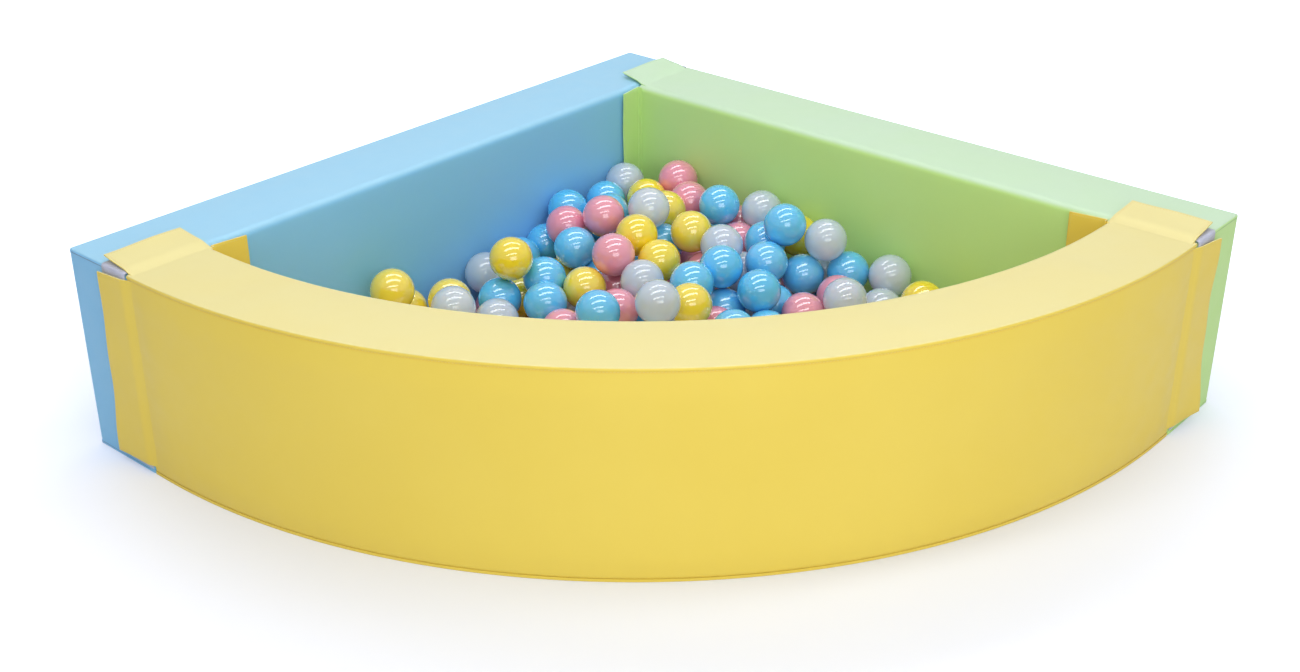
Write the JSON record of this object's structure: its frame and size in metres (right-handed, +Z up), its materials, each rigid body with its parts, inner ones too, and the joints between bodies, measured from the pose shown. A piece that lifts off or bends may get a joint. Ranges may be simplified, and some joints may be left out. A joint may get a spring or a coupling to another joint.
{
  "type": "ball pit",
  "caption": "Quarter-round soft play ball pit: padded walls that part at fastening flaps, with an open floor and a heap of play balls inside.",
  "frame": {"origin": "on the floor, under the middle of the whole object's box", "axes": "+Z up; the left wall runs along X at the +Y side, the right wall along Y at the +X side, and the curved wall closes the quarter towards -X and -Y"},
  "size_m": [1.209, 1.2044, 0.3225],
  "materials": {
    "blue_leatherette": "satin synthetic leather",
    "green_leatherette": "satin synthetic leather",
    "yellow_leatherette": "satin synthetic leather",
    "foam": "open-cell foam",
    "base_fabric": "woven, matt",
    "zip": "matt",
    "slider": "matt",
    "hook_strip": "matt",
    "loop_patch": "napped",
    "blue_ball": "glossy",
    "pink_ball": "glossy",
    "yellow_ball": "glossy",
    "white_ball": "glossy"
  },
  "bodies": {
    "left_wall": {"left_wall_cover": "blue_leatherette", "left_wall_foam": "foam", "left_wall_base": "base_fabric", "left_wall_zip": "zip", "left_loop_wrap": "loop_patch", "left_inner_loop_patch": "loop_patch", "back_loop_wrap": "loop_patch", "back_inner_loop_patch": "loop_patch", "ball_bed": "white_ball"},
    "right_wall": {"right_wall_cover": "green_leatherette", "right_wall_foam": "foam", "right_wall_base": "base_fabric", "right_wall_zip": "zip", "right_loop_wrap": "loop_patch", "right_inner_loop_patch": "loop_patch"},
    "front_wall": {"front_wall_cover": "yellow_leatherette", "front_wall_foam": "foam", "front_wall_base": "base_fabric", "front_wall_zip": "zip"},
    "left_top_flap": {"left_top_flap": "yellow_leatherette", "left_top_hook_strip": "hook_strip"},
    "left_outer_flap": {"left_outer_flap": "yellow_leatherette", "left_outer_hook_strip": "hook_strip"},
    "left_inner_flap": {"left_inner_flap": "yellow_leatherette", "left_inner_hook_strip": "hook_strip"},
    "right_top_flap": {"right_top_flap": "yellow_leatherette", "right_top_hook_strip": "hook_strip"},
    "right_outer_flap": {"right_outer_flap": "yellow_leatherette", "right_outer_hook_strip": "hook_strip"},
    "right_inner_flap": {"right_inner_flap": "yellow_leatherette", "right_inner_hook_strip": "hook_strip"},
    "back_top_flap": {"back_top_flap": "green_leatherette", "back_top_hook_strip": "hook_strip"},
    "back_outer_flap": {"back_outer_flap": "green_leatherette", "back_outer_hook_strip": "hook_strip"},
    "back_inner_flap": {"back_inner_flap": "green_leatherette", "back_inner_hook_strip": "hook_strip"},
    "left_zip_slider": {"left_wall_zip_slider": "slider"},
    "right_zip_slider": {"right_wall_zip_slider": "slider"},
    "front_zip_slider": {"front_wall_zip_slider": "slider"},
    "white_ball_1": {"white_ball_1": "white_ball"},
    "white_ball_2": {"white_ball_2": "white_ball"},
    "white_ball_3": {"white_ball_3": "white_ball"},
    "white_ball_4": {"white_ball_4": "white_ball"},
    "white_ball_5": {"white_ball_5": "white_ball"},
    "white_ball_6": {"white_ball_6": "white_ball"},
    "white_ball_7": {"white_ball_7": "white_ball"},
    "pink_ball_1": {"pink_ball_1": "pink_ball"},
    "pink_ball_2": {"pink_ball_2": "pink_ball"},
    "pink_ball_3": {"pink_ball_3": "pink_ball"},
    "yellow_ball_1": {"yellow_ball_1": "yellow_ball"},
    "yellow_ball_2": {"yellow_ball_2": "yellow_ball"},
    "yellow_ball_3": {"yellow_ball_3": "yellow_ball"},
    "yellow_ball_4": {"yellow_ball_4": "yellow_ball"},
    "blue_ball_1": {"blue_ball_1": "blue_ball"},
    "blue_ball_2": {"blue_ball_2": "blue_ball"},
    "blue_ball_3": {"blue_ball_3": "blue_ball"},
    "blue_ball_4": {"blue_ball_4": "blue_ball"},
    "blue_ball_5": {"blue_ball_5": "blue_ball"},
    "blue_ball_6": {"blue_ball_6": "blue_ball"}
  },
  "joints": [
    {"name": "right_wall_pull", "type": "slide", "parent": "left_wall", "child": "right_wall", "axis": [1, 0, 0], "range_m": [0, 0.3]},
    {"name": "front_wall_pull", "type": "slide", "parent": "left_wall", "child": "front_wall", "axis": [-0.7071, -0.7071, 0], "range_m": [0, 0.4]},
    {"name": "left_top_flap_hinge", "type": "hinge", "parent": "front_wall", "child": "left_top_flap", "pos_m": [-0.531, 0.46025, 0.3191], "axis": [1, 0, 0], "range_deg": [0, 160]},
    {"name": "left_outer_flap_hinge", "type": "hinge", "parent": "front_wall", "child": "left_outer_flap", "pos_m": [-0.6011, 0.46025, 0.1625], "axis": [0, 0, 1], "range_deg": [0, 160]},
    {"name": "left_inner_flap_hinge", "type": "hinge", "parent": "front_wall", "child": "left_inner_flap", "pos_m": [-0.4609, 0.46055, 0.16525], "axis": [0, 0, -1], "range_deg": [0, 85]},
    {"name": "right_top_flap_hinge", "type": "hinge", "parent": "front_wall", "child": "right_top_flap", "pos_m": [0.458, -0.52875, 0.3191], "axis": [0, -1, 0], "range_deg": [0, 160]},
    {"name": "right_outer_flap_hinge", "type": "hinge", "parent": "front_wall", "child": "right_outer_flap", "pos_m": [0.458, -0.59885, 0.1625], "axis": [0, 0, -1], "range_deg": [0, 160]},
    {"name": "right_inner_flap_hinge", "type": "hinge", "parent": "front_wall", "child": "right_inner_flap", "pos_m": [0.4583, -0.45865, 0.16525], "axis": [0, 0, 1], "range_deg": [0, 85]},
    {"name": "back_top_flap_hinge", "type": "hinge", "parent": "right_wall", "child": "back_top_flap", "pos_m": [0.531, 0.46025, 0.3191], "axis": [1, 0, 0], "range_deg": [0, 160]},
    {"name": "back_outer_flap_hinge", "type": "hinge", "parent": "right_wall", "child": "back_outer_flap", "pos_m": [0.6011, 0.46025, 0.1625], "axis": [0, 0, -1], "range_deg": [0, 160]},
    {"name": "back_inner_flap_hinge", "type": "hinge", "parent": "right_wall", "child": "back_inner_flap", "pos_m": [0.4609, 0.46055, 0.16525], "axis": [0, 0, 1], "range_deg": [0, 85]},
    {"name": "left_zip_slider_run", "type": "slide", "parent": "left_wall", "child": "left_zip_slider", "axis": [1, 0, 0], "range_m": [0, 0.87]},
    {"name": "right_zip_slider_run", "type": "slide", "parent": "right_wall", "child": "right_zip_slider", "axis": [0, 1, 0], "range_m": [0, 0.87]},
    {"name": "front_zip_slider_run", "type": "slide", "parent": "front_wall", "child": "front_zip_slider", "axis": [0.7071, -0.7071, 0], "range_m": [0, 0.57]},
    {"name": "white_ball_1_lift", "type": "slide", "parent": "left_wall", "child": "white_ball_1", "axis": [0, 0, 1], "range_m": [0, 0.3]},
    {"name": "white_ball_2_lift", "type": "slide", "parent": "left_wall", "child": "white_ball_2", "axis": [0, 0, 1], "range_m": [0, 0.3]},
    {"name": "white_ball_3_lift", "type": "slide", "parent": "left_wall", "child": "white_ball_3", "axis": [0, 0, 1], "range_m": [0, 0.3]},
    {"name": "white_ball_4_lift", "type": "slide", "parent": "left_wall", "child": "white_ball_4", "axis": [0, 0, 1], "range_m": [0, 0.3]},
    {"name": "white_ball_5_lift", "type": "slide", "parent": "left_wall", "child": "white_ball_5", "axis": [0, 0, 1], "range_m": [0, 0.3]},
    {"name": "white_ball_6_lift", "type": "slide", "parent": "left_wall", "child": "white_ball_6", "axis": [0, 0, 1], "range_m": [0, 0.3]},
    {"name": "white_ball_7_lift", "type": "slide", "parent": "left_wall", "child": "white_ball_7", "axis": [0, 0, 1], "range_m": [0, 0.3]},
    {"name": "pink_ball_1_lift", "type": "slide", "parent": "left_wall", "child": "pink_ball_1", "axis": [0, 0, 1], "range_m": [0, 0.3]},
    {"name": "pink_ball_2_lift", "type": "slide", "parent": "left_wall", "child": "pink_ball_2", "axis": [0, 0, 1], "range_m": [0, 0.3]},
    {"name": "pink_ball_3_lift", "type": "slide", "parent": "left_wall", "child": "pink_ball_3", "axis": [0, 0, 1], "range_m": [0, 0.3]},
    {"name": "yellow_ball_1_lift", "type": "slide", "parent": "left_wall", "child": "yellow_ball_1", "axis": [0, 0, 1], "range_m": [0, 0.3]},
    {"name": "yellow_ball_2_lift", "type": "slide", "parent": "left_wall", "child": "yellow_ball_2", "axis": [0, 0, 1], "range_m": [0, 0.3]},
    {"name": "yellow_ball_3_lift", "type": "slide", "parent": "left_wall", "child": "yellow_ball_3", "axis": [0, 0, 1], "range_m": [0, 0.3]},
    {"name": "yellow_ball_4_lift", "type": "slide", "parent": "left_wall", "child": "yellow_ball_4", "axis": [0, 0, 1], "range_m": [0, 0.3]},
    {"name": "blue_ball_1_lift", "type": "slide", "parent": "left_wall", "child": "blue_ball_1", "axis": [0, 0, 1], "range_m": [0, 0.3]},
    {"name": "blue_ball_2_lift", "type": "slide", "parent": "left_wall", "child": "blue_ball_2", "axis": [0, 0, 1], "range_m": [0, 0.3]},
    {"name": "blue_ball_3_lift", "type": "slide", "parent": "left_wall", "child": "blue_ball_3", "axis": [0, 0, 1], "range_m": [0, 0.3]},
    {"name": "blue_ball_4_lift", "type": "slide", "parent": "left_wall", "child": "blue_ball_4", "axis": [0, 0, 1], "range_m": [0, 0.3]},
    {"name": "blue_ball_5_lift", "type": "slide", "parent": "left_wall", "child": "blue_ball_5", "axis": [0, 0, 1], "range_m": [0, 0.3]},
    {"name": "blue_ball_6_lift", "type": "slide", "parent": "left_wall", "child": "blue_ball_6", "axis": [0, 0, 1], "range_m": [0, 0.3]}
  ]
}
